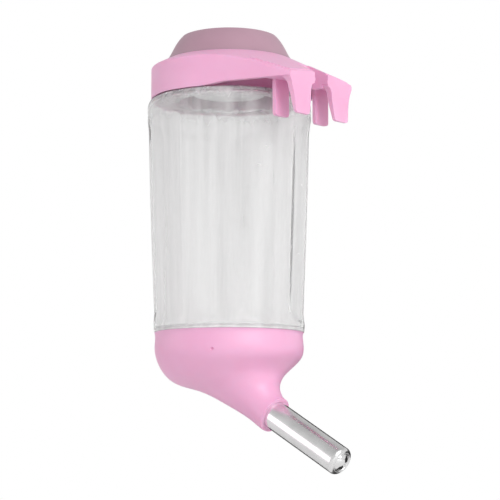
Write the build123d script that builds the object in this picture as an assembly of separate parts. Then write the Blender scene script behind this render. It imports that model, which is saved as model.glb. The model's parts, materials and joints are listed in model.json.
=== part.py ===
"""Hanging water bottle for a rabbit cage: a clear bottle, a screw-on funnel with a ball-valve
drinking tube, a screw-on refill lid, and a bracket whose two hooks hang on a cage wire.

Everything is modelled about the bottle's own axis with z = 0 at the roof of the hook saddles.
save() then moves each piece, so that the finished part's origin is at the middle of the cage
wire, halfway between the two hooks. +Z is up, and +X is the way the hooks and the tube point.
"""

from build123d import *
import math
import os

# ---- frame (millimetres and degrees throughout) ----
wire_offset = 45.0  # from the bottle's axis forward to the cage wire
fit = 0.05  # a turning or screwed fit, on the radius or face to face
thread_gap = 0.3  # between meshing thread ridges, and between any two curved faces that pass

# ---- levels, measured up from the saddle roofs ----
seam_z = -101.4  # the bottle's foot meets the funnel's rim
spigot_end_z = seam_z - 8.3
shoulder_z = -1.07
collar_top_z = 15.7  # the flat on which the lid sits
neck_top_z = 21.5
lid_top_z = 26.6

# ---- bottle ----
bottle_wall = 1.4
foot_radius = 31.8
belly_radius = 34.3
belly_z = -55.6
chest_radius = 35.05
chest_z = -10.0
shoulder_start_z = -5.05
shoulder_flat_radius = 31.05
neck_radius = 23.0  # plain part of the neck, inside the bracket
neck_wall = 1.7
mouth_radius = 18.0
spigot_bore = 26.6
panel_count = 8
panel_phase = 3.8  # the panels need not line up with the tube, because the threads stop anywhere
panel_edge_land = 0.35  # rounded strip left between two flat panels
panel_top_z = -10.5
panel_bottom_z = -98.0
panel_end_run = 6.0  # length of the rounded end of each flat panel
panel_end_rise = 2.8

# ---- threads: two starts each ----
thread_lead = 8.0
thread_starts = 2
thread_depth = 0.8
thread_root_width = 1.6
thread_crest_width = 0.9
thread_sink = 0.35  # how far a ridge is rooted in its wall
neck_thread_radius = 19.8
neck_thread_z = 16.9
neck_thread_turns = 0.30
lid_bore = neck_thread_radius + thread_depth + thread_gap
spigot_radius = 28.2
spigot_thread_z = spigot_end_z + 1.9
spigot_thread_turns = 0.42
socket_bore = spigot_radius + thread_depth + thread_gap

# ---- lid: outer shell, clear inner cup and gasket ----
lid_base_radius = 27.4  # the lid's edge follows the bracket's roof a little way down
lid_side = [(25.3, 18.2), (24.2, 20.4), (23.2, 22.2), (22.0, 24.0)]  # radius and height
lid_corner_radius = 20.4
lid_corner_z = 25.9
lid_corner_slope = 0.42  # rise of the crown where it leaves the corner
lid_crown_radius = 9.0
lid_ceiling_z = 23.9
lid_groove_inner = 22.4
lid_groove_outer = 23.9
lid_groove_depth = 2.4
gasket_thickness = 1.2
cup_flange_radius = 20.4
cup_flange_thickness = lid_ceiling_z - neck_top_z - gasket_thickness
cup_top_radius = 17.7
cup_bottom_radius = 16.7
cup_bottom_z = 1.0
cup_wall = 1.2
cup_corner = 1.5
gate_mark_radius = 1.1
gate_mark_height = 0.5

# ---- bracket ----
collar_flat_radius = 26.3  # the flat under the lid; the conical roof falls away from its edge
band_radius = 33.6
band_wall = 2.0
roof_slope = 0.5  # fall of the conical roof for each millimetre out from the axis
roof_step_radius = 40.3  # small raised edge where the deck in front begins
roof_step_height = 0.35
roof_thickness = 2.2
collar_wall = 2.4
head_front_x = 50.6
head_half_width = 20.3
notch_half_width = 4.3
notch_back_x = 39.0
hook_back_x = 38.75
hook_tab_thickness = 1.65
hook_spacing = 26.0
hook_width = 8.6
hook_drop = 15.0
saddle_roof_end_x = 44.6
saddle_fillet_end = (48.1, -4.4)  # x and z where the big round meets the front tab
front_tab_inner_x = 49.8
front_tab_outer_x = 51.1
front_tab_straight_z = -5.0  # the front of the tab leans forward below this
front_tab_inner_edge = [(4.3, -0.9), (5.9, -1.7), (6.6, -3.2), (7.2, -8.4)]  # y and z, top down
front_tab_foot = (8.4, 17.0)  # the tab's y range at its tip
front_tab_outer_edge = [(17.5, -9.9), (18.1, -6.2), (19.2, -2.6), (20.3, -0.3)]  # bottom up
cheek_drop = 1.5  # the rib beside the notch hangs this far below the saddle roofs
cheek_width = 1.6
cheek_span = (42.5, 47.6)  # the rib's x range
tab_root = 0.5  # how far the tabs run up into the deck
skirt_overlap = 3.0  # the band is drawn this far below the shoulder, then cut to fit the bottle
skirt_rise_start = (8.0, -1.7)  # x and z: in front of this the skirt's lower edge climbs
skirt_rise_end = (22.0, 0.0)
notch_ledge_z = 1.2  # below this the notch is narrower
notch_ledge = 0.35
tab_corner = 1.4
edge_round = 1.2  # round where the band meets the roof

# ---- funnel: round cross-sections as (x, z below the seam, radius, tilt) ----
funnel_sections = [
    (0.0, 0.0, 31.65, 0.0),
    (0.0, -5.5, 31.55, 0.0),
    (0.0, -9.0, 31.3, 0.0),
    (-0.1, -14.2, 28.8, 3.3),
    (1.0, -18.4, 24.6, 7.0),
    (5.8, -21.6, 18.4, 9.8),
    (13.2, -26.4, 11.9, 23.3),
    (19.9, -31.1, 8.5, 49.4),
    (23.3, -34.0, 7.9, 60.0),
    (25.3, -35.15, 7.75, 60.5),
]
funnel_wall = 2.1
ledge_z = spigot_end_z - gasket_thickness
ledge_bore = 26.0
throat_section = 4  # the inside leaves the ledge and joins the outside's curves here
gate_dot_angle = -61.7  # direction of the funnel's gate dimple about the axis
gate_dot_z = seam_z - 8.6
gate_dot_radius = 0.75
gate_dot_centre = 31.45  # distance of the dimple's centre from the axis

# ---- drinking tube, along its own axis from the nozzle's mouth outward ----
spout_tilt = 29.5  # below horizontal
mouth_x = 25.3
mouth_z = seam_z - 35.15
tube_radius = 6.0
tube_wall = 0.6
tube_length = 40.1
tube_root = -14.2
tube_flare_radius = 6.9
tube_flare_length = 1.0
tip_round = 1.9
tip_opening = 3.95
lip_thickness = 0.7
seal_radius = 7.0
seal_start = -12.9
seal_end = -9.2
nozzle_bore = tube_radius + fit
pocket_start = -15.0
ball_radius = 4.75
spring_radius = 4.2
spring_wire = 0.25  # wire radius
spring_turns = 6.5
spring_length = 15.0
retainer_thickness = 1.4
retainer_hole = 1.3
retainer_hole_ring = 3.0
retainer_hole_count = 4


def polar(radius, angle):
    """A point at this distance and direction from the bottle's axis."""
    return radius * math.cos(math.radians(angle)), radius * math.sin(math.radians(angle))


def turned(*edges):
    """A solid of revolution from (radius, z) edges that make a closed outline."""
    return revolve(Plane.XZ * make_face(edges), Axis.Z)


def turned_outline(points):
    """A solid of revolution from (radius, z) corners."""
    return turned(Polyline(*points, close=True))


def tube_ring(inner, outer, low, high):
    """A plain ring between two radii and two heights."""
    return turned_outline([(inner, low), (outer, low), (outer, high), (inner, high)])


def thread(radius, low, turns, inward=False, phase=0.0):
    """Helical ridges, one for each start, on a wall of this radius."""
    path = Helix(pitch=thread_lead, height=thread_lead * turns, radius=radius)
    side = -1 if inward else 1
    corners = [
        (-side * thread_sink, -thread_root_width / 2),
        (side * thread_depth, -thread_crest_width / 2),
        (side * thread_depth, thread_crest_width / 2),
        (-side * thread_sink, thread_root_width / 2),
    ]
    start = Plane(origin=path @ 0, x_dir=(1, 0, 0), z_dir=path % 0)
    ridge = sweep(start * make_face(Polyline(*corners, close=True)), path, is_frenet=True)
    turn = 360.0 / thread_starts
    return [Pos(0, 0, low) * Rot(0, 0, phase + start_no * turn) * ridge for start_no in range(thread_starts)]


def save(name, shape):
    """Move a finished piece to the part's own origin and write it."""
    export_step(Pos(-wire_offset, 0, 0) * shape, f"parts/{name}.step")


# ---- bottle ----
def body_radius(z):
    """Radius of the round body at a height on its side, taken as a straight taper."""
    share = (z - seam_z) / (chest_z - seam_z)
    return foot_radius + (chest_radius - foot_radius) * share


def round_body(inset):
    """The bottle's body before its panels are cut, smaller all over by inset."""
    foot_z = seam_z + fit + inset
    flat_z = shoulder_z - inset
    return turned(
        Line((0, foot_z), (foot_radius - inset, foot_z)),
        ThreePointArc(
            (foot_radius - inset, foot_z), (belly_radius - inset, belly_z), (chest_radius - inset, chest_z)
        ),
        Line((chest_radius - inset, chest_z), (chest_radius - inset, shoulder_start_z)),
        TangentArc(
            (chest_radius - inset, shoulder_start_z), (shoulder_flat_radius, flat_z), tangent=(0, 1)
        ),
        Line((shoulder_flat_radius, flat_z), (0, flat_z)),
        Line((0, flat_z), (0, foot_z)),
    )


def panel_cutter(inset):
    """The slab outside one flat panel, with rounded ends that leave an arch above and below."""
    half_step = math.radians(180.0 / panel_count)
    reach = chest_radius * 1.4
    top = body_radius(panel_top_z) * math.cos(half_step) + panel_edge_land - inset
    bottom = body_radius(panel_bottom_z) * math.cos(half_step) + panel_edge_land - inset
    low, high = panel_bottom_z + panel_end_run, panel_top_z - panel_end_run
    outline = [
        Line((reach, panel_bottom_z), (bottom + panel_end_rise, panel_bottom_z)),
        TangentArc((bottom, low), (bottom + panel_end_rise, panel_bottom_z), tangent=(0, -1)),
        Line((bottom, low), (top, high)),
        TangentArc((top, high), (top + panel_end_rise, panel_top_z), tangent=(0, 1)),
        Line((top + panel_end_rise, panel_top_z), (reach, panel_top_z)),
        Line((reach, panel_top_z), (reach, panel_bottom_z)),
    ]
    half_width = chest_radius * math.tan(half_step)
    return extrude(Plane.XZ * make_face(outline), half_width, both=True)


def panelled_body(inset):
    """The bottle's body with its flat panels."""
    body = round_body(inset)
    cutter = panel_cutter(inset)
    for number in range(panel_count):
        body -= Rot(0, 0, panel_phase + (number + 0.5) * 360.0 / panel_count) * cutter
    return body


def make_bottle():
    neck = tube_ring(0, neck_radius, shoulder_z - bottle_wall, collar_top_z - fit)
    mouth = tube_ring(0, neck_thread_radius, shoulder_z, neck_top_z)
    spigot = tube_ring(0, spigot_radius, spigot_end_z, seam_z + bottle_wall)
    neck_bore = turned_outline(
        [
            (0, shoulder_z - 2 * bottle_wall),
            (neck_radius - neck_wall, shoulder_z - 2 * bottle_wall),
            (neck_radius - neck_wall, collar_top_z - 3 * neck_wall),
            (mouth_radius, collar_top_z - neck_wall),
            (mouth_radius, neck_top_z),
            (0, neck_top_z),
        ]
    )
    spigot_hole = turned_outline(
        [
            (0, spigot_end_z),
            (spigot_bore, spigot_end_z),
            (spigot_bore, seam_z + bottle_wall / 2),
            (spigot_bore + bottle_wall, seam_z + 2 * bottle_wall),
            (0, seam_z + 2 * bottle_wall),
        ]
    )
    bottle = panelled_body(0) + neck + mouth + spigot
    bottle = bottle - panelled_body(bottle_wall) - neck_bore - spigot_hole
    for ridge in thread(neck_thread_radius, neck_thread_z, neck_thread_turns):
        bottle += ridge
    for ridge in thread(spigot_radius, spigot_thread_z, spigot_thread_turns):
        bottle += ridge
    return bottle


# ---- lid ----
def make_lid_shell():
    flat_end = (collar_flat_radius, collar_top_z + fit)
    edge = (lid_base_radius, roof_height(lid_base_radius) + fit)
    corner = (lid_corner_radius, lid_corner_z)
    outer = turned(
        Line((0, collar_top_z + fit), flat_end),
        Line(flat_end, edge),
        Spline(edge, *lid_side, corner),
        Spline(
            corner, (lid_crown_radius, lid_top_z), (0, lid_top_z),
            tangents=[(-1, lid_corner_slope), (-1, 0)],
        ),
        Line((0, lid_top_z), (0, collar_top_z + fit)),
    )
    bore = tube_ring(0, lid_bore, collar_top_z, lid_ceiling_z)
    groove = tube_ring(
        lid_groove_inner, lid_groove_outer, collar_top_z, collar_top_z + lid_groove_depth
    )
    lid = outer - bore - groove
    ridge_z = neck_thread_z + thread_lead / thread_starts / 2
    for ridge in thread(lid_bore, ridge_z, neck_thread_turns, inward=True):
        lid += ridge
    return lid


def make_lid_cup():
    """Clear cup that hangs in the neck from its flange; its floor carries the gate mark."""
    low = lid_ceiling_z - cup_flange_thickness
    high = lid_ceiling_z - fit
    cup = turned_outline(
        [
            (0, cup_bottom_z),
            (cup_bottom_radius - cup_corner, cup_bottom_z),
            (cup_bottom_radius, cup_bottom_z + cup_corner),
            (cup_top_radius, low),
            (cup_flange_radius, low),
            (cup_flange_radius, high),
            (cup_top_radius - cup_wall, high),
            (cup_bottom_radius - cup_wall, cup_bottom_z + cup_corner + cup_wall / 2),
            (cup_bottom_radius - cup_corner - cup_wall / 2, cup_bottom_z + cup_wall),
            (0, cup_bottom_z + cup_wall),
        ]
    )
    mark = turned_outline(
        [
            (0, cup_bottom_z - gate_mark_height),
            (gate_mark_radius / 2, cup_bottom_z - gate_mark_height),
            (gate_mark_radius, cup_bottom_z),
            (gate_mark_radius, cup_bottom_z + cup_wall / 2),
            (0, cup_bottom_z + cup_wall / 2),
        ]
    )
    return cup + mark


# ---- bracket ----
def roof_height(radius):
    """Height of the conical roof at a distance from the bottle's axis."""
    return collar_top_z - roof_slope * (radius - collar_flat_radius)


def under_roof(drop, low):
    """Everything below the roof's cone, lowered by drop, and above the low level."""
    reach = 2 * head_front_x
    return turned_outline(
        [
            (0, low),
            (reach, low),
            (reach, roof_height(reach) - drop),
            (collar_flat_radius, collar_top_z - drop),
            (0, collar_top_z - drop),
        ]
    )


def teardrop(inset):
    """Plan of the bracket: the band's circle and straight sides that run to the hook heads."""
    radius = band_radius - inset
    corner_x, corner_y = head_front_x - inset, head_half_width - inset
    bearing = math.degrees(math.atan2(corner_y, corner_x))
    spread = math.degrees(math.acos(radius / math.hypot(corner_x, corner_y)))
    touch_x, touch_y = polar(radius, bearing + spread)
    sides = Polygon(
        (touch_x, touch_y), (touch_x, -touch_y), (corner_x, -corner_y), (corner_x, corner_y), align=None
    )
    return Circle(radius) + sides


def make_head_solid():
    """The two hook tabs below the saddle roofs, front and rear, on the near side of y = 0."""
    centre = hook_spacing / 2
    inner, outer = centre - hook_width / 2, centre + hook_width / 2
    rear_face = Polygon(
        (inner, tab_root), (inner, -hook_drop), (outer, -hook_drop), (outer, tab_root), align=None
    )
    rear_face = fillet(rear_face.vertices().sort_by(Axis.Y)[:2], tab_corner)
    rear = extrude(Plane.YZ * rear_face, hook_tab_thickness)
    rear = Pos(hook_back_x, 0, 0) * rear
    front_face = Polygon(
        (notch_half_width, tab_root),
        *front_tab_inner_edge,
        (front_tab_foot[0], -hook_drop),
        (front_tab_foot[1], -hook_drop),
        *front_tab_outer_edge,
        (head_half_width, tab_root),
        align=None,
    )
    front_face = fillet(front_face.vertices().sort_by(Axis.Y)[:2], tab_corner)
    front = Pos(hook_back_x, 0, 0) * extrude(Plane.YZ * front_face, front_tab_outer_x)
    profile = make_face(
        [
            Line((saddle_roof_end_x, tab_root), (saddle_roof_end_x, 0)),
            TangentArc((saddle_roof_end_x, 0), saddle_fillet_end, tangent=(1, 0)),
            Line(saddle_fillet_end, (front_tab_inner_x, -hook_drop)),
            Line((front_tab_inner_x, -hook_drop), (front_tab_outer_x, -hook_drop)),
            Line((front_tab_outer_x, -hook_drop), (head_front_x, front_tab_straight_z)),
            Line((head_front_x, front_tab_straight_z), (head_front_x, tab_root)),
            Line((head_front_x, tab_root), (saddle_roof_end_x, tab_root)),
        ]
    )
    front &= extrude(Plane.XZ * profile, -head_half_width * 2)
    cheek_length = cheek_span[1] - cheek_span[0]
    cheek_height = cheek_drop + tab_root
    cheek = Box(cheek_length, 2 * cheek_width, cheek_height)
    cheek = Pos(cheek_span[0] + cheek_length / 2, notch_half_width, tab_root - cheek_height / 2) * cheek
    return rear + front + cheek


def notch_cutter(half_width, low, high):
    """The slot between the two heads, open in front, between two heights."""
    length = 2 * (head_front_x - notch_back_x)
    slot = Pos(notch_back_x + length / 2, 0, 0) * Rectangle(length, 2 * half_width)
    slot = fillet(slot.vertices().sort_by(Axis.X)[:2], half_width / 2)
    return extrude(Pos(0, 0, low) * slot, high - low)


def is_rim(edge):
    """Whether this edge of the outer form lies where its walls meet the roof."""
    middle = edge.position_at(0.5)
    outside = math.hypot(middle.X, middle.Y) > band_radius - 0.1
    return outside and middle.Z > 0 and abs(edge.tangent_at(0.5).Z) < 0.7


def deck_pad():
    """The slightly raised deck in front of the step in the roof."""
    plan = teardrop(edge_round) - Circle(roof_step_radius)
    pad = extrude(plan, collar_top_z) & under_roof(-roof_step_height, 0)
    return pad - under_roof(edge_round, -edge_round)


def make_bracket():
    low = shoulder_z - skirt_overlap
    beyond = 2 * head_front_x
    outer = extrude(Pos(0, 0, low) * teardrop(0), lid_top_z - low)
    outer = outer & under_roof(0, low)
    rim = [edge for edge in outer.edges() if is_rim(edge)]
    side_rim = [edge for edge in rim if edge.position_at(0.5).X < head_front_x - 0.1]
    outer = fillet(side_rim, edge_round) + deck_pad()
    # the band reaches down onto the bottle's shoulder; the arms stop level with the saddles
    skirt_tool = make_face(
        Polyline(
            (skirt_rise_start[0], 2 * low), skirt_rise_start, skirt_rise_end, (beyond, 0), (beyond, 2 * low),
            close=True,
        )
    )
    outer -= extrude(Plane.XZ * skirt_tool, 2 * band_radius, both=True)
    in_front = Pos(hook_back_x + beyond / 2, 0, 0) * Rectangle(beyond, 2 * beyond)
    hollow_plan = teardrop(band_wall) - in_front
    hollow = extrude(Pos(0, 0, low) * hollow_plan, collar_top_z - low) & under_roof(roof_thickness, low)
    collar = tube_ring(0, neck_radius + fit + collar_wall, shoulder_z, collar_top_z)
    bracket = outer - (hollow - collar)
    for side in (1, -1):
        tabs = make_head_solid()
        bracket += tabs if side > 0 else mirror(tabs, about=Plane.XZ)
    bracket -= notch_cutter(notch_half_width, notch_ledge_z, collar_top_z)
    bracket -= notch_cutter(notch_half_width - notch_ledge, -hook_drop, collar_top_z)
    bracket -= tube_ring(0, neck_radius + fit, 2 * low, lid_top_z)
    bracket -= Pos(0, 0, thread_gap) * round_body(-thread_gap)
    return bracket


# ---- funnel ----
def funnel_form(sections, inset):
    """The flowing shape through these round sections, smaller all over by inset."""
    faces = []
    for x, z, radius, tilt in sections:
        tilt_rad = math.radians(tilt)
        plane = Plane(
            origin=(x, 0, seam_z + z),
            x_dir=(math.cos(tilt_rad), 0, math.sin(tilt_rad)),
            z_dir=(math.sin(tilt_rad), 0, -math.cos(tilt_rad)),
        )
        faces.append(plane * Circle(radius - inset))
    return loft(faces)


def spout_place():
    """Location of the nozzle's mouth: local +Z runs out along the drinking tube."""
    tilt_rad = math.radians(spout_tilt)
    return Plane(
        origin=(mouth_x, 0, mouth_z),
        x_dir=(0, 1, 0),
        z_dir=(math.cos(tilt_rad), 0, -math.sin(tilt_rad)),
    ).location


def make_funnel():
    place = spout_place()
    funnel = funnel_form(funnel_sections, 0)
    throat_start = (0.0, ledge_z - seam_z, ledge_bore + funnel_wall, 0.0)
    funnel -= funnel_form([throat_start, *funnel_sections[throat_section:]], funnel_wall)
    funnel -= tube_ring(0, socket_bore, ledge_z, seam_z + 1.0)
    funnel -= place * tube_ring(0, nozzle_bore, pocket_start, 5.0)
    funnel -= place * tube_ring(0, seal_radius + fit, pocket_start, seal_end)
    dot_x, dot_y = polar(gate_dot_centre, gate_dot_angle)
    funnel -= Pos(dot_x, dot_y, gate_dot_z) * Sphere(gate_dot_radius)
    ridge_z = spigot_thread_z + thread_lead / thread_starts / 2
    for ridge in thread(socket_bore, ridge_z, spigot_thread_turns * 0.75, inward=True):
        funnel += ridge
    return funnel


# ---- drinking tube ----
def make_tube():
    bore = tube_radius - tube_wall
    tip = tube_length
    flat = tip_opening + 0.45
    return turned(
        Line((bore, tube_root), (tube_flare_radius, tube_root)),
        Line((tube_flare_radius, tube_root), (tube_flare_radius, tube_root + tube_flare_length)),
        Line((tube_flare_radius, tube_root + tube_flare_length), (tube_radius, tube_root + 1.3)),
        Line((tube_radius, tube_root + 1.3), (tube_radius, tip - tip_round)),
        TangentArc((tube_radius, tip - tip_round), (flat, tip), tangent=(0, 1)),
        TangentArc((flat, tip), (tip_opening, tip - lip_thickness), tangent=(-1, 0)),
        Line((tip_opening, tip - lip_thickness), (bore, tip - tip_round - 0.6)),
        Line((bore, tip - tip_round - 0.6), (bore, tube_root)),
    )


def ball_centre():
    """Height of the ball along the tube when it rests on the lip."""
    seat = math.sqrt(ball_radius**2 - tip_opening**2)
    return tube_length - lip_thickness - seat - fit


def make_spring(low):
    path = Helix(pitch=spring_length / spring_turns, height=spring_length, radius=spring_radius)
    start = Plane(origin=path @ 0, x_dir=(1, 0, 0), z_dir=path % 0)
    return Pos(0, 0, low) * sweep(start * Circle(spring_wire), path, is_frenet=True)


def make_retainer(high):
    plug = Pos(0, 0, high - retainer_thickness / 2) * Cylinder(tube_radius - tube_wall, retainer_thickness)
    for number in range(retainer_hole_count):
        x, y = polar(retainer_hole_ring, number * 360.0 / retainer_hole_count)
        plug -= Pos(x, y, high) * Cylinder(retainer_hole, 4 * retainer_thickness)
    return plug


def main():
    os.makedirs("parts", exist_ok=True)
    place = spout_place()
    ball_z = ball_centre()
    ball_back = ball_z - math.sqrt(ball_radius**2 - (spring_radius - spring_wire) ** 2)
    spring_low = ball_back - spring_length - spring_wire - 2 * fit
    save("bottle_body", make_bottle())
    save("bracket", make_bracket())
    save("lid_shell", make_lid_shell())
    save("lid_cup", make_lid_cup())
    save(
        "lid_gasket",
        tube_ring(mouth_radius, neck_thread_radius - thread_gap, neck_top_z, neck_top_z + gasket_thickness),
    )
    save("base_funnel", make_funnel())
    save("base_gasket", tube_ring(ledge_bore + 0.2, socket_bore - 0.2, ledge_z, spigot_end_z))
    save("spout_tube", place * make_tube())
    save("spout_seal", place * tube_ring(tube_radius, seal_radius, seal_start, seal_end))
    save("tip_ball", place * Pos(0, 0, ball_z) * Sphere(ball_radius))
    save("ball_spring", place * make_spring(spring_low))
    save("spring_retainer", place * make_retainer(spring_low - spring_wire - fit))


main()
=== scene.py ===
"""Studio picture of a hanging rabbit water bottle: clear bottle, pink bracket and funnel, mauve
lid, steel drinking tube. All sizes are in metres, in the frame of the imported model."""

import json
import math

import bpy
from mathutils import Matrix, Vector


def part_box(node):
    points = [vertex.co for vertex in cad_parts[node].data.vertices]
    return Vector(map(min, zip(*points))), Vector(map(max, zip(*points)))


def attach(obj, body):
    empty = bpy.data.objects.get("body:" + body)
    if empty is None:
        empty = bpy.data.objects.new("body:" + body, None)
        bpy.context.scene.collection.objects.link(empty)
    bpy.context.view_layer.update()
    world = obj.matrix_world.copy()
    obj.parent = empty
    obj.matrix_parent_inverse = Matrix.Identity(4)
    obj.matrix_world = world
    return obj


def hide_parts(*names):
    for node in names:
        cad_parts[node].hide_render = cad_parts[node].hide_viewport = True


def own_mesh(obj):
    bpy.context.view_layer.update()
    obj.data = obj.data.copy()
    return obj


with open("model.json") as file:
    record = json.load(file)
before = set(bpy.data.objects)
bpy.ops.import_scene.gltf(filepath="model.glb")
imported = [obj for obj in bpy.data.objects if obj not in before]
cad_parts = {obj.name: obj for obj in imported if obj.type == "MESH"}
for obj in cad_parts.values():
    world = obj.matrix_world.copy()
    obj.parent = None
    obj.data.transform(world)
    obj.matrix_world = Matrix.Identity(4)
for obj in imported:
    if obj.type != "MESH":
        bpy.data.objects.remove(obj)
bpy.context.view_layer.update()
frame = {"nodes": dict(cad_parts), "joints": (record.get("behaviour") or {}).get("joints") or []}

MM = 0.001
JOINTS = {joint["name"]: joint for joint in frame["joints"]}

# ---- places taken from the frame ----
AXIS_X = JOINTS["bottle_swivel"]["pos_m"][0]  # the bottle's axis is upright through here, at y = 0
OUTWARD = -Vector(JOINTS["ball_press"]["axis"]).normalized()  # along the drinking tube
BALL_LOW, BALL_HIGH = (Vector(corner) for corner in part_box("tip_ball"))
BALL_CENTRE = (BALL_LOW + BALL_HIGH) / 2
SEAM_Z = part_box("base_funnel")[1][2]
SPIGOT_END_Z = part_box("bottle_body")[0][2]
NECK_TOP_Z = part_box("bottle_body")[1][2]
LOWEST_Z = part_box("spout_tube")[0][2]

# ---- bottle ----
WALL = 1.4 * MM
FOOT_RADIUS = 31.8 * MM
BELLY_RADIUS = 34.3 * MM
CHEST_RADIUS = 35.05 * MM
CHEST_RISE = SEAM_Z + 91.4 * MM
BELLY_Z = SEAM_Z + 45.8 * MM
SHOULDER_START_Z = SEAM_Z + 96.35 * MM
SHOULDER_Z = SEAM_Z + 100.33 * MM
SHOULDER_FLAT_RADIUS = 31.05 * MM
NECK_RADIUS = 23.0 * MM
NECK_BORE = 21.3 * MM
NECK_STEP_Z = NECK_TOP_Z - 5.85 * MM
NECK_CONE_Z = NECK_TOP_Z - 10.9 * MM
MOUTH_RADIUS = 18.0 * MM
SPIGOT_BORE = 26.6 * MM
PANELS = 8
PANEL_PHASE = math.radians(3.8)
PANEL_LAND = 0.35 * MM
PANEL_TOP_Z = SEAM_Z + 90.9 * MM
PANEL_BOTTOM_Z = SEAM_Z + 3.4 * MM
PANEL_END_RUN = 6.0 * MM
PANEL_END_RISE = 2.8 * MM
PANEL_EDGE_SOFTNESS = 0.75 * MM
CLEARANCE = 0.05 * MM
EDGE = 0.5 * MM  # the rounding of the bottle's outer corners
SMALL_EDGE = 0.3 * MM  # the same at its rims and threads
RIM_EDGE = 0.4 * MM  # the same inside its bores
NECK_FOOT_RADIUS = 25.4 * MM  # the shoulder's flat ends here, before it turns up into the neck
AROUND = 288  # vertices in each ring of the bottle

# ---- threads ----
LEAD = 8.0 * MM
STARTS = 2
THREAD_DEPTH = 0.8 * MM
THREAD_ROOT = 1.6 * MM
THREAD_CREST = 0.9 * MM
NECK_THREAD = {"radius": 19.8 * MM, "low": NECK_TOP_Z - 4.6 * MM, "turns": 0.30}
SPIGOT_THREAD = {"radius": 28.2 * MM, "low": SPIGOT_END_Z + 1.9 * MM, "turns": 0.42}
THREAD_FADE = 0.02  # share of a turn over which a ridge rises at its ends


# ---- shared mesh helpers ----
def new_piece(name, vertices, faces, body, smooth=True):
    """A mesh object that rides on a body."""
    mesh = bpy.data.meshes.new(name)
    mesh.from_pydata(vertices, [], faces)
    mesh.validate()
    mesh.polygons.foreach_set("use_smooth", [smooth] * len(mesh.polygons))
    piece = bpy.data.objects.new(name, mesh)
    bpy.context.scene.collection.objects.link(piece)
    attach(piece, body)
    return piece


def ring_faces(rings, around, closed):
    """Quads between rings of vertices, each with this many vertices around."""
    faces = []
    for ring in range(rings if closed else rings - 1):
        this_ring = ring * around
        next_ring = ((ring + 1) % rings) * around
        for column in range(around):
            beside = (column + 1) % around
            faces.append((this_ring + column, this_ring + beside, next_ring + beside, next_ring + column))
    return faces


def steps(start, end, count):
    """Evenly spaced values from start up to, but not including, end."""
    return [start + (end - start) * number / count for number in range(count)]


# ---- clear bottle ----
def circle_through(low, middle, high):
    """Centre and radius of the circle through three (radius, z) points."""
    (x1, y1), (x2, y2), (x3, y3) = low, middle, high
    d = 2 * (x1 * (y2 - y3) + x2 * (y3 - y1) + x3 * (y1 - y2))
    s1, s2, s3 = x1 * x1 + y1 * y1, x2 * x2 + y2 * y2, x3 * x3 + y3 * y3
    cx = (s1 * (y2 - y3) + s2 * (y3 - y1) + s3 * (y1 - y2)) / d
    cy = (s1 * (x3 - x2) + s2 * (x1 - x3) + s3 * (x2 - x1)) / d
    return cx, cy, math.hypot(x1 - cx, y1 - cy)


BELLY_ARC = circle_through((FOOT_RADIUS, SEAM_Z), (BELLY_RADIUS, BELLY_Z), (CHEST_RADIUS, CHEST_RISE))
SHOULDER_WIDTH = CHEST_RADIUS - SHOULDER_FLAT_RADIUS
SHOULDER_HEIGHT = SHOULDER_Z - SHOULDER_START_Z


def round_radius(z):
    """The bottle's radius before its panels are pressed in."""
    if z >= CHEST_RISE:
        return CHEST_RADIUS
    centre_x, centre_z, radius = BELLY_ARC
    return centre_x + math.sqrt(radius**2 - (z - centre_z) ** 2)


def panel_distance(z):
    """Distance of a flat panel from the bottle's axis, or None above and below the panels."""
    if not PANEL_BOTTOM_Z < z < PANEL_TOP_Z:
        return None
    share = (z - SEAM_Z) / (CHEST_RISE - SEAM_Z)
    taper = FOOT_RADIUS + (CHEST_RADIUS - FOOT_RADIUS) * share
    flat = taper * math.cos(math.pi / PANELS) + PANEL_LAND
    into_end = max(PANEL_BOTTOM_Z + PANEL_END_RUN - z, z - PANEL_TOP_Z + PANEL_END_RUN, 0)
    bend = (PANEL_END_RUN**2 + PANEL_END_RISE**2) / (2 * PANEL_END_RISE)
    return flat + bend - math.sqrt(bend**2 - into_end**2)


def panelled_radius(z, angle):
    """The bottle's outer radius at a height and a direction, with softened panel edges."""
    distance = panel_distance(z)
    plain = round_radius(z)
    if distance is None:
        return plain
    step = 2 * math.pi / PANELS
    off_centre = (angle - PANEL_PHASE) % step - step / 2
    flat = distance / math.cos(off_centre)
    gap = (flat - plain) / PANEL_EDGE_SOFTNESS
    if abs(gap) > 30:
        return min(flat, plain)
    return plain - PANEL_EDGE_SOFTNESS * math.log(1 + math.exp(-gap))


def thread_ridge(thread, z, angle):
    """Height of the thread's ridges at a point on their wall."""
    best = 0.0
    for start in range(STARTS):
        along = (angle - start * 2 * math.pi / STARTS) % (2 * math.pi) / (2 * math.pi)
        if along > thread["turns"]:
            continue
        off = abs(z - thread["low"] - LEAD * along)
        flank = (THREAD_ROOT / 2 - off) / ((THREAD_ROOT - THREAD_CREST) / 2)
        fade = min(along, thread["turns"] - along) / THREAD_FADE
        best = max(best, THREAD_DEPTH * min(max(flank, 0), 1, fade))
    return best


def body_stations(inset, up):
    """(z, inset) rows of the body's wall from foot to shoulder, or the other way."""
    low = SEAM_Z + CLEARANCE + inset
    ends = PANEL_END_RUN * 1.3
    heights = [low, low + 0.25 * MM]
    heights += steps(low + 0.6 * MM, PANEL_BOTTOM_Z, 3)
    heights += steps(PANEL_BOTTOM_Z, PANEL_BOTTOM_Z + ends, 14)
    heights += steps(PANEL_BOTTOM_Z + ends, PANEL_TOP_Z - ends, 16)
    heights += steps(PANEL_TOP_Z - ends, PANEL_TOP_Z, 14)
    heights += steps(PANEL_TOP_Z, SHOULDER_START_Z, 5)
    rows = [(z, inset) for z in heights]
    return rows if up else rows[::-1]


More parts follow.
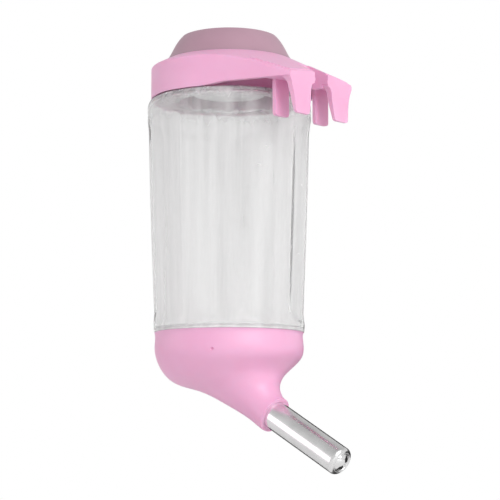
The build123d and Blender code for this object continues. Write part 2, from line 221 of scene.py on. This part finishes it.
def shoulder_rows(inset, up):
    """(z, radius) rows over the rounded shoulder and along its flat."""
    rows = []
    for turn in steps(0, math.pi / 2, 10):
        radius = SHOULDER_FLAT_RADIUS - inset + SHOULDER_WIDTH * math.cos(turn)
        rows.append((SHOULDER_START_Z + (SHOULDER_HEIGHT - inset) * math.sin(turn), radius))
    flat_z = SHOULDER_Z - inset
    rows += [(flat_z, SHOULDER_FLAT_RADIUS - inset), (flat_z, NECK_FOOT_RADIUS - inset / 2)]
    return rows if up else rows[::-1]


def make_bottle():
    """The whole clear bottle as one closed wall: up the outside, over the rim and down the inside."""
    rings = []

    def plain(z, radius):
        rings.append([radius] * AROUND + [z])

    def threaded(z, thread):
        ridge = [thread_ridge(thread, z, 2 * math.pi * column / AROUND) for column in range(AROUND)]
        rings.append([thread["radius"] + height for height in ridge] + [z])

    def walls(rows):
        for z, inset in rows:
            outer = [panelled_radius(z, 2 * math.pi * column / AROUND) for column in range(AROUND)]
            rings.append([radius - inset for radius in outer] + [z])

    spigot = SPIGOT_THREAD["radius"]
    plain(SPIGOT_END_Z, SPIGOT_BORE + RIM_EDGE)
    plain(SPIGOT_END_Z, spigot - EDGE)
    plain(SPIGOT_END_Z + EDGE, spigot)
    for z in steps(SPIGOT_END_Z + 0.8 * MM, SEAM_Z - EDGE, 34):
        threaded(z, SPIGOT_THREAD)
    plain(SEAM_Z - SMALL_EDGE, spigot)
    plain(SEAM_Z + CLEARANCE, spigot + SMALL_EDGE)
    plain(SEAM_Z + CLEARANCE, FOOT_RADIUS - EDGE)
    plain(SEAM_Z + CLEARANCE + 0.08 * MM, FOOT_RADIUS - 0.12 * MM)
    walls(body_stations(0, True)[1:])
    for z, radius in shoulder_rows(0, True):
        plain(z, radius)
    plain(SHOULDER_Z, NECK_RADIUS + EDGE)
    plain(SHOULDER_Z + EDGE, NECK_RADIUS)
    for z in steps(SHOULDER_Z + 2 * MM, NECK_STEP_Z, 4):
        plain(z, NECK_RADIUS)
    plain(NECK_STEP_Z - 0.2 * MM, NECK_RADIUS)
    plain(NECK_STEP_Z, NECK_RADIUS - SMALL_EDGE)
    plain(NECK_STEP_Z, NECK_THREAD["radius"] + SMALL_EDGE)
    for z in steps(NECK_STEP_Z + 0.2 * MM, NECK_TOP_Z - EDGE, 26):
        threaded(z, NECK_THREAD)
    plain(NECK_TOP_Z - SMALL_EDGE, NECK_THREAD["radius"])
    plain(NECK_TOP_Z, NECK_THREAD["radius"] - SMALL_EDGE)
    plain(NECK_TOP_Z, MOUTH_RADIUS + SMALL_EDGE)
    plain(NECK_TOP_Z - SMALL_EDGE, MOUTH_RADIUS)
    for z in steps(NECK_STEP_Z - 0.5 * MM, NECK_STEP_Z - 1.7 * MM, 2):
        plain(z, MOUTH_RADIUS)
    plain(NECK_CONE_Z + RIM_EDGE, NECK_BORE - SMALL_EDGE)
    plain(NECK_CONE_Z - RIM_EDGE, NECK_BORE)
    for z in steps(NECK_CONE_Z - 2 * MM, SHOULDER_Z - WALL + 1.5 * MM, 4):
        plain(z, NECK_BORE)
    plain(SHOULDER_Z - WALL + EDGE, NECK_BORE)
    plain(SHOULDER_Z - WALL, NECK_BORE + EDGE)
    for z, radius in shoulder_rows(WALL, False):
        plain(z, radius)
    walls(body_stations(WALL, False)[:-2])
    plain(SEAM_Z + WALL + EDGE, FOOT_RADIUS - WALL - CLEARANCE)
    plain(SEAM_Z + WALL, FOOT_RADIUS - WALL - EDGE)
    plain(SEAM_Z + WALL, SPIGOT_BORE + EDGE)
    plain(SEAM_Z + WALL - RIM_EDGE, SPIGOT_BORE + CLEARANCE)
    plain(SEAM_Z, SPIGOT_BORE)
    for z in steps(SEAM_Z - 2 * MM, SPIGOT_END_Z + 1.5 * MM, 3):
        plain(z, SPIGOT_BORE)
    plain(SPIGOT_END_Z + RIM_EDGE, SPIGOT_BORE)

    vertices = []
    for ring in rings:
        z = ring[-1]
        for column, radius in enumerate(ring[:-1]):
            angle = 2 * math.pi * column / AROUND
            vertices.append((AXIS_X + radius * math.cos(angle), radius * math.sin(angle), z))
    faces = ring_faces(len(rings), AROUND, closed=True)
    bottle = new_piece("clear_bottle", vertices, faces, "bottle")
    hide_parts("bottle_body")
    return bottle


# ---- measure marks raised on the bottle ----
# direction about the bottle's axis in degrees, and height above the seam
MARKS = [
    (-20.2, 85.5 * MM),
    (-20.2, 75.3 * MM),
    (-26.3, 67.5 * MM),
    (25.5, 62.2 * MM),
    (22.0, 32.6 * MM),
]
MARK_WIDTH = 2.2 * MM
MARK_HEIGHT = 0.45 * MM
MARK_RISE = 0.25 * MM


def make_marks():
    """Short rounded ridges that follow the bottle's wall."""
    columns, sides = 13, 12
    vertices, faces = [], []
    for direction, rise in MARKS:
        z = SEAM_Z + rise
        first = len(vertices)
        for column in range(columns):
            share = 2 * (column + 0.5) / columns - 1
            angle = math.radians(direction) + share * MARK_WIDTH / 2 / CHEST_RADIUS
            size = math.sqrt(1 - share**2)
            for side in range(sides):
                turn = 2 * math.pi * side / sides
                height = z + MARK_HEIGHT / 2 * size * math.cos(turn)
                radius = panelled_radius(height, angle) + MARK_RISE * size * math.sin(turn)
                vertices.append((AXIS_X + radius * math.cos(angle), radius * math.sin(angle), height))
        tube = ring_faces(columns, sides, closed=False)
        tube.append(tuple(range(sides))[::-1])
        tube.append(tuple((columns - 1) * sides + side for side in range(sides)))
        faces += [tuple(first + corner for corner in face) for face in tube]
    return new_piece("measure_marks", vertices, faces, "bottle")


# ---- materials ----
class Shader:
    """A material with a principled shader, and short ways to add the nodes that feed it."""

    def __init__(self, name, **settings):
        self.material = bpy.data.materials.new(name)
        self.material.use_nodes = True
        self.tree = self.material.node_tree
        self.surface = self.tree.nodes["Principled BSDF"]
        for socket, value in settings.items():
            self.surface.inputs[socket.replace("_", " ")].default_value = value
        self.place = self.node("ShaderNodeTexCoord").outputs["Object"]

    def node(self, kind, **values):
        made = self.tree.nodes.new(kind)
        for socket, value in values.items():
            made.inputs[socket.replace("_", " ")].default_value = value
        return made

    def link(self, source, target):
        self.tree.links.new(source, target)

    def noise(self, scale, detail=2.0, stretch=(1, 1, 1), turn=(0, 0, 0)):
        """Noise across the object: repeats per metre, drawn out by stretch along turned axes."""
        turned = self.node("ShaderNodeMapping")
        turned.vector_type = "TEXTURE"
        turned.inputs["Rotation"].default_value = turn
        turned.inputs["Scale"].default_value = stretch
        self.link(self.place, turned.inputs["Vector"])
        made = self.node("ShaderNodeTexNoise", Scale=scale, Detail=detail)
        self.link(turned.outputs["Vector"], made.inputs["Vector"])
        return made.outputs["Fac"]

    def vary_colour(self, source, dark, light, low=0.35, high=0.65):
        ramp = self.node("ShaderNodeValToRGB")
        ramp.color_ramp.elements[0].position = low
        ramp.color_ramp.elements[0].color = (*dark, 1)
        ramp.color_ramp.elements[1].position = high
        ramp.color_ramp.elements[1].color = (*light, 1)
        self.link(source, ramp.inputs["Fac"])
        self.link(ramp.outputs["Color"], self.surface.inputs["Base Color"])

    def vary_roughness(self, source, low, high):
        spread = self.node("ShaderNodeMapRange", To_Min=low, To_Max=high)
        self.link(source, spread.inputs["Value"])
        self.link(spread.outputs["Result"], self.surface.inputs["Roughness"])

    def bump(self, source, height, strength=1.0):
        bumps = self.node("ShaderNodeBump", Distance=height, Strength=strength)
        self.link(source, bumps.inputs["Height"])
        self.link(bumps.outputs["Normal"], self.surface.inputs["Normal"])


def moulded_plastic(name, dark, light, rough, grain_height, translucency=0.0):
    """Injection-moulded plastic with faint flow clouds and a fine spark-eroded grain."""
    shader = Shader(
        name,
        IOR=1.49,
        Specular_IOR_Level=0.8,
        Subsurface_Weight=translucency,
        Subsurface_Radius=(1.0, 0.35, 0.45),
        Subsurface_Scale=2.0 * MM,
    )
    shader.vary_colour(shader.noise(70.0), dark, light)
    shader.vary_roughness(shader.noise(420.0), rough - 0.04, rough + 0.05)
    shader.bump(shader.noise(5200.0, 1.0), grain_height)
    return shader.material


def clear_plastic(name, rough, ripple_height, clarity, shoulder_painted_light, foot_painted_light):
    """Clear blown plastic with slow ripples and upright streaks; what is not clarity is milky haze.

    Extra milky haze at the bottle's shoulder and foot is painted light: it lightens the shaded bracket
    underside seen through the shoulder and the dark band at the seam."""
    shader = Shader(name, Base_Color=(0.97, 0.97, 0.97, 1), IOR=1.12, Roughness=rough)
    shader.bump(shader.noise(95.0, 1.0, (1, 1, 8)), ripple_height)
    haze = shader.node(
        "ShaderNodeMapRange", From_Min=0.35, From_Max=0.75, To_Min=clarity + 0.07, To_Max=clarity - 0.13
    )
    shader.link(shader.noise(240.0, 3.0, (1, 1, 32)), haze.inputs["Value"])
    height = shader.node("ShaderNodeSeparateXYZ")
    shader.link(shader.place, height.inputs["Vector"])
    clearest = haze.outputs["Result"]
    # painted light: extra haze at the shoulder and at the foot lightens the shade seen there
    for low, high, painted_light_haze in (
        (SHOULDER_START_Z - 2 * MM, SHOULDER_Z, shoulder_painted_light),
        (SEAM_Z + 2.5 * MM, SEAM_Z + 0.5 * MM, foot_painted_light),
    ):
        end = shader.node("ShaderNodeMapRange", From_Min=low, From_Max=high, To_Min=0.0, To_Max=painted_light_haze)
        shader.link(height.outputs["Z"], end.inputs["Value"])
        less = shader.node("ShaderNodeMath")
        less.operation = "SUBTRACT"
        shader.link(clearest, less.inputs[0])
        shader.link(end.outputs["Result"], less.inputs[1])
        clearest = less.outputs["Value"]
    shader.link(clearest, shader.surface.inputs["Transmission Weight"])
    return shader.material


def polished_steel(name, rough, stretch=(1, 1, 1), turn=(0, 0, 0)):
    """Bright steel with fine draw marks along one turned axis."""
    shader = Shader(name, Metallic=1.0)
    shader.vary_colour(shader.noise(160.0), (0.80, 0.80, 0.80), (0.88, 0.88, 0.88))
    shader.vary_roughness(shader.noise(900.0, 2.0, stretch, turn), rough - 0.03, rough + 0.05)
    shader.bump(shader.noise(2600.0, 1.0, stretch, turn), 0.0002 * MM)
    return shader.material


def silicone(name):
    """Milky seal rubber."""
    shader = Shader(
        name, IOR=1.42, Subsurface_Weight=0.4, Subsurface_Radius=(1, 1, 1), Subsurface_Scale=1.5 * MM
    )
    shader.vary_colour(shader.noise(120.0), (0.78, 0.77, 0.75), (0.86, 0.85, 0.83))
    shader.vary_roughness(shader.noise(700.0), 0.45, 0.6)
    shader.bump(shader.noise(3000.0), 0.01 * MM)
    return shader.material


def backdrop(name, colour):
    """Matt studio paper."""
    shader = Shader(name, Roughness=0.9)
    shader.vary_colour(shader.noise(3.0), tuple(0.985 * part for part in colour), colour)
    return shader.material


def dress(node, material):
    """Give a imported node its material."""
    mesh = frame["nodes"][node].data
    mesh.materials.clear()
    mesh.materials.append(material)


# ---- spring inside the drinking tube ----
SPRING_LENGTH = 15.0 * MM
SPRING_COIL = 4.2 * MM
SPRING_WIRE = 0.25 * MM
SPRING_TURNS = 6.5
SPRING_GAP = 0.1 * MM  # between the last coil and the ball
SPRING_STEPS = 240
WIRE_SIDES = 10
END_CLOSING = 0.12  # how strongly the coils close up at the spring's ends
BALL_RADIUS = (BALL_HIGH.x - BALL_LOW.x) / 2


def tube_frame():
    """Two directions across the drinking tube, to go with OUTWARD along it."""
    across = Vector((0, 1, 0))
    return across, OUTWARD.cross(across)


def make_spring():
    """Coil spring from the retainer to the ball; its end coils lie closed."""
    across, up = tube_frame()
    behind_ball = math.sqrt(BALL_RADIUS**2 - (SPRING_COIL - SPRING_WIRE) ** 2)
    top = BALL_CENTRE - OUTWARD * (behind_ball + SPRING_WIRE + SPRING_GAP)
    base = top - OUTWARD * SPRING_LENGTH
    points = []
    for number in range(SPRING_STEPS + 1):
        share = number / SPRING_STEPS
        closed_ends = share - END_CLOSING * math.sin(4 * math.pi * share) / math.pi
        angle = 2 * math.pi * SPRING_TURNS * share
        centre = base + OUTWARD * SPRING_LENGTH * closed_ends
        points.append(centre + SPRING_COIL * (across * math.cos(angle) + up * math.sin(angle)))
    vertices = []
    for number, point in enumerate(points):
        ahead = points[min(number + 1, SPRING_STEPS)] - points[max(number - 1, 0)]
        from_axis = (point - base) - OUTWARD * (point - base).dot(OUTWARD)
        outward = from_axis.normalized()
        side = ahead.normalized().cross(outward)
        for corner in range(WIRE_SIDES):
            angle = 2 * math.pi * corner / WIRE_SIDES
            offset = outward * math.cos(angle) + side * math.sin(angle)
            vertices.append(point + SPRING_WIRE * offset)
    faces = ring_faces(SPRING_STEPS + 1, WIRE_SIDES, closed=False)
    faces.append(tuple(range(WIRE_SIDES))[::-1])
    faces.append(tuple(SPRING_STEPS * WIRE_SIDES + corner for corner in range(WIRE_SIDES)))
    spring = new_piece("coil_spring", vertices, faces, "base")
    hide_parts("ball_spring")
    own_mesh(spring)
    return spring


# ---- studio ----
CAMERA_PLACE = (0.4880, -0.6059, -0.1602)
CAMERA_TURN = math.radians(40.71)  # forward direction, from +Y towards -X
CAMERA_TILT = math.radians(6.66)
LENS_MM = 137.3
SENSOR_MM = 36.0
VIEW_DEPTH = 50.0
FLOOR_DROP = 0.14
FLOOR_REACH = 6.0
FLOOR_SIDES = 96


def make_camera():
    data = bpy.data.cameras.new("camera")
    data.lens = LENS_MM
    data.sensor_width = SENSOR_MM
    data.clip_end = VIEW_DEPTH
    camera = bpy.data.objects.new("camera", data)
    camera.location = CAMERA_PLACE
    camera.rotation_euler = (math.pi / 2 + CAMERA_TILT, 0, CAMERA_TURN)
    bpy.context.scene.collection.objects.link(camera)
    bpy.context.scene.camera = camera


def area_light(name, place, target, size, power, colour=(1, 1, 1)):
    data = bpy.data.lights.new(name, "AREA")
    data.shape = "RECTANGLE"
    data.size, data.size_y = size
    data.energy = power
    data.color = colour
    light = bpy.data.objects.new(name, data)
    light.location = place
    aim = Vector(target) - Vector(place)
    light.rotation_euler = aim.to_track_quat("-Z", "Y").to_euler()
    bpy.context.scene.collection.objects.link(light)
    return light


def make_world():
    """A pale room, dimmer above. The camera sees it white; the object sees soft greys."""
    world = bpy.data.worlds.new("studio")
    bpy.context.scene.world = world
    world.use_nodes = True
    nodes, links = world.node_tree.nodes, world.node_tree.links
    room = nodes["Background"]
    place = nodes.new("ShaderNodeTexCoord")
    parts = nodes.new("ShaderNodeSeparateXYZ")
    ramp = nodes.new("ShaderNodeValToRGB")
    ramp.color_ramp.elements[0].position = 0.0
    ramp.color_ramp.elements[0].color = (0.84, 0.84, 0.84, 1)
    ramp.color_ramp.elements[1].position = 1.0
    ramp.color_ramp.elements[1].color = (0.50, 0.50, 0.50, 1)
    middle = ramp.color_ramp.elements.new(0.5)
    middle.color = (0.83, 0.83, 0.83, 1)
    lift = nodes.new("ShaderNodeMapRange")
    lift.inputs["From Min"].default_value = -1.0
    links.new(place.outputs["Generated"], parts.inputs["Vector"])
    links.new(parts.outputs["Z"], lift.inputs["Value"])
    links.new(lift.outputs["Result"], ramp.inputs["Fac"])
    links.new(ramp.outputs["Color"], room.inputs["Color"])
    white = nodes.new("ShaderNodeBackground")
    path = nodes.new("ShaderNodeLightPath")
    mix = nodes.new("ShaderNodeMixShader")
    links.new(path.outputs["Is Camera Ray"], mix.inputs["Fac"])
    links.new(room.outputs["Background"], mix.inputs[1])
    links.new(white.outputs["Background"], mix.inputs[2])
    white.inputs["Color"].default_value = (1, 1, 1, 1)
    links.new(mix.outputs["Shader"], nodes["World Output"].inputs["Surface"])


def make_floor():
    """A wide disc of pale paper well below the drinking tube."""
    z = LOWEST_Z - FLOOR_DROP
    vertices = [(AXIS_X, 0, z)]
    for column in range(FLOOR_SIDES):
        angle = 2 * math.pi * column / FLOOR_SIDES
        vertices.append((AXIS_X + FLOOR_REACH * math.cos(angle), FLOOR_REACH * math.sin(angle), z))
    faces = [(0, 1 + column, 1 + (column + 1) % FLOOR_SIDES) for column in range(FLOOR_SIDES)]
    mesh = bpy.data.meshes.new("floor")
    mesh.from_pydata(vertices, [], faces)
    mesh.materials.append(backdrop("studio_paper", (0.93, 0.93, 0.93)))
    floor = bpy.data.objects.new("floor", mesh)
    bpy.context.scene.collection.objects.link(floor)


FLAG_REACH = 60.0 * MM  # from the drinking tube to each dark flag
FLAG_WIDTH = 40.0 * MM
FLAG_LENGTH = 160.0 * MM
FLAG_SETBACK = 20.0 * MM  # the flags' middle lies this far up the tube from the ball
FLAG_BEARINGS = (-31, 31)  # degrees off the line of sight, behind the tube


def make_flags():
    """Dark cards behind the drinking tube, seen only in reflections, that draw its dark edges."""
    black = backdrop("flag_cloth", (0.02, 0.02, 0.02))
    sight = (BALL_CENTRE - Vector(CAMERA_PLACE)).normalized()
    behind = (sight - OUTWARD * sight.dot(OUTWARD)).normalized()
    across = OUTWARD.cross(behind)
    for number, bearing in enumerate(FLAG_BEARINGS):
        turn = math.radians(bearing)
        outward = behind * math.cos(turn) + across * math.sin(turn)
        beside = across * math.cos(turn) - behind * math.sin(turn)
        centre = BALL_CENTRE - OUTWARD * FLAG_SETBACK + outward * FLAG_REACH
        corners = [
            centre + beside * FLAG_WIDTH / 2 * side + OUTWARD * FLAG_LENGTH / 2 * end
            for side, end in ((-1, -1), (1, -1), (1, 1), (-1, 1))
        ]
        mesh = bpy.data.meshes.new(f"flag_{number}")
        mesh.from_pydata(corners, [], [(0, 1, 2, 3)])
        mesh.materials.append(black)
        flag = bpy.data.objects.new(f"flag_{number}", mesh)
        flag.visible_camera = False
        flag.visible_diffuse = False
        flag.visible_transmission = False
        flag.visible_shadow = False
        bpy.context.scene.collection.objects.link(flag)


def light_studio():
    middle = (AXIS_X, 0, SEAM_Z / 2)
    area_light("key", (1.1, -0.35, 0.45), middle, (0.7, 0.9), 9.5)
    area_light("fill", (-0.75, -0.75, -0.2), middle, (0.7, 0.9), 2.2, (1.0, 0.86, 0.93))
    make_flags()
    make_world()


def main():
    scene = bpy.context.scene
    scene.view_settings.view_transform = "Standard"
    scene.cycles.max_bounces = 32
    scene.cycles.transmission_bounces = 32
    make_camera()
    light_studio()
    make_floor()

    pink = moulded_plastic("pink_plastic", (0.81, 0.40, 0.61), (0.83, 0.43, 0.64), 0.42, 0.012 * MM, 0.25)
    mauve = moulded_plastic("mauve_plastic", (0.42, 0.245, 0.315), (0.44, 0.262, 0.332), 0.40, 0.02 * MM)
    white = moulded_plastic("white_plastic", (0.80, 0.80, 0.79), (0.84, 0.84, 0.83), 0.45, 0.01 * MM)
    # the last two numbers are painted light: extra haze at the shoulder and at the foot
    clear = clear_plastic("bottle_plastic", 0.02, 0.015 * MM, 0.86, 0.16, 0.45)
    cup_clear = clear_plastic("cup_plastic", 0.04, 0.02 * MM, 0.55, 0.0, 0.0)
    print_white = moulded_plastic("mark_plastic", (0.90, 0.90, 0.90), (0.94, 0.94, 0.94), 0.4, 0.004 * MM)
    tube_turn = (0, math.atan2(-OUTWARD.z, OUTWARD.x), 0)
    tube_steel = polished_steel("tube_steel", 0.20, (20, 1, 1), tube_turn)
    wire_steel = polished_steel("wire_steel", 0.18)
    ball_steel = polished_steel("ball_steel", 0.07)
    seal = silicone("seal_rubber")

    make_bottle().data.materials.append(clear)
    make_marks().data.materials.append(print_white)
    make_spring().data.materials.append(wire_steel)
    dress("bracket", pink)
    dress("base_funnel", pink)
    dress("lid_shell", mauve)
    dress("lid_cup", cup_clear)
    dress("spring_retainer", white)
    dress("spout_tube", tube_steel)
    dress("tip_ball", ball_steel)
    for node in ("lid_gasket", "base_gasket", "spout_seal"):
        dress(node, seal)


main()
